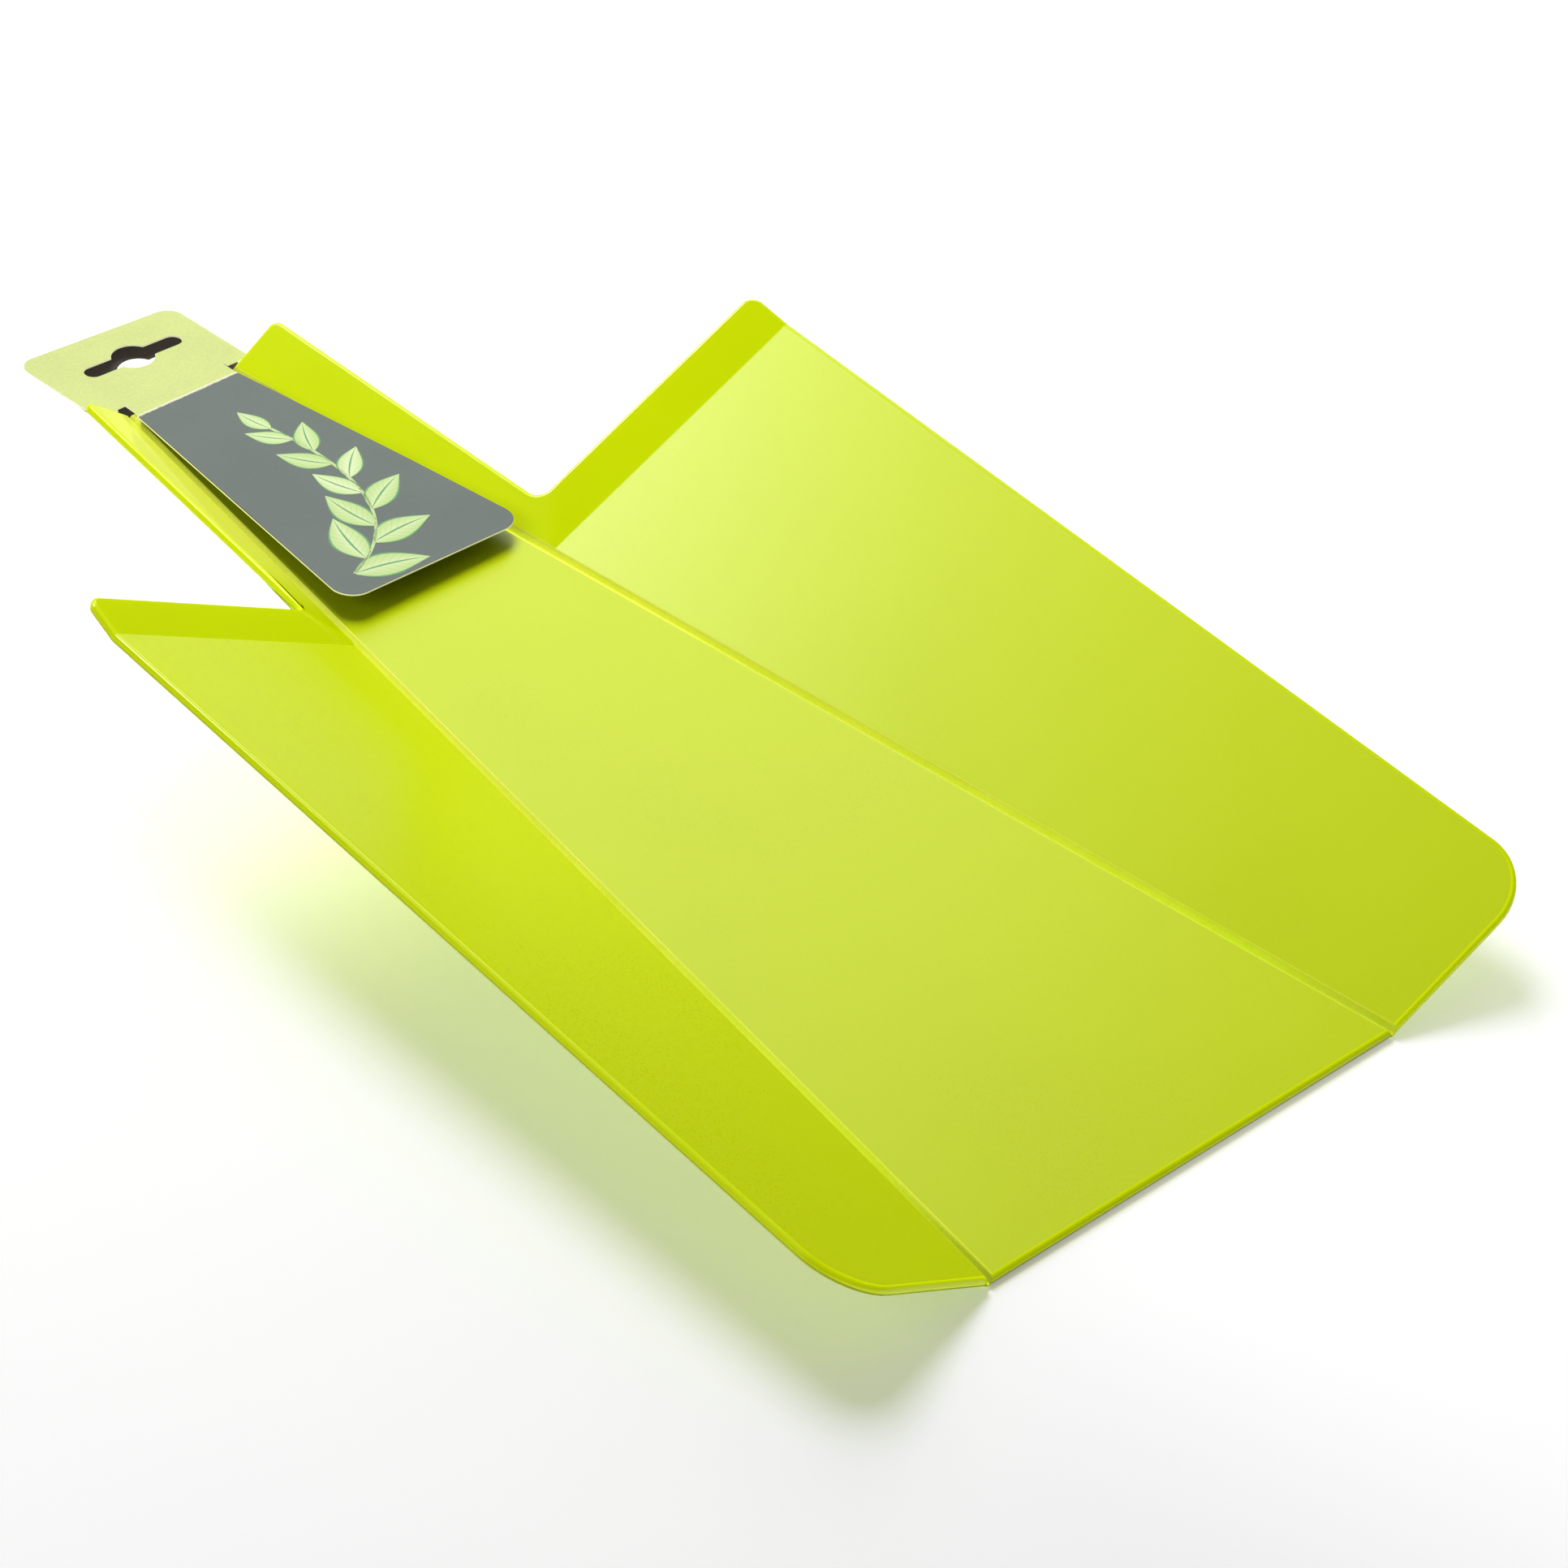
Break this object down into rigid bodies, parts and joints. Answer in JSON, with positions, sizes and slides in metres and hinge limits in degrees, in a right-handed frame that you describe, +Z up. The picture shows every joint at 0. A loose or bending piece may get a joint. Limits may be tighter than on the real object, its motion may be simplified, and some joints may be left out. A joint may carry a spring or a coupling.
{
  "type": "folding cutting board",
  "caption": "Thin plastic chopping board with a centre panel that runs out into a handle, and two wings that fold up on living hinges into a chute; a slotted hang card folds over the handle.",
  "frame": {"origin": "under the middle of the cutting area, on the underside of the centre panel", "axes": "+Y runs towards the handle, +Z up out of the cutting surface, +X to the right wing"},
  "size_m": [0.2437, 0.4383, 0.0498],
  "materials": {
    "board": "satin, finely grained, lime green polypropylene",
    "hinge_web": "thin lime green polypropylene that lets light through",
    "card_header": "printed, satin varnish",
    "card_flap": "printed, satin varnish",
    "card_back": "dark print, matt"
  },
  "bodies": {
    "centre": {"centre_panel": "board", "handle": "board", "left_hinge_web": "hinge_web", "right_hinge_web": "hinge_web", "card_header": "card_header", "card_back": "card_back"},
    "left_side": {"left_wing": "board"},
    "right_side": {"right_wing": "board"},
    "flap": {"card_front_flap": "card_flap"}
  },
  "joints": [
    {"name": "left_wing_fold", "type": "hinge", "parent": "centre", "child": "left_side", "pos_m": [-0.0345, 0.14, 0.0006], "axis": [0.1307, 0.9914, 0], "range_deg": [-28.5, 31.5], "stiffness_Nm_per_rad": 3, "deforming": ["left_hinge_web"]},
    {"name": "right_wing_fold", "type": "hinge", "parent": "centre", "child": "right_side", "pos_m": [0.0345, 0.14, 0.0006], "axis": [0.1307, -0.9914, 0], "range_deg": [-27, 33], "stiffness_Nm_per_rad": 3, "deforming": ["right_hinge_web"]},
    {"name": "card_flap_lift", "type": "hinge", "parent": "centre", "child": "flap", "pos_m": [0, 0.25645, 0.0048], "axis": [-1, 0, 0], "range_deg": [-2.8, 110], "stiffness_Nm_per_rad": 0.05}
  ]
}
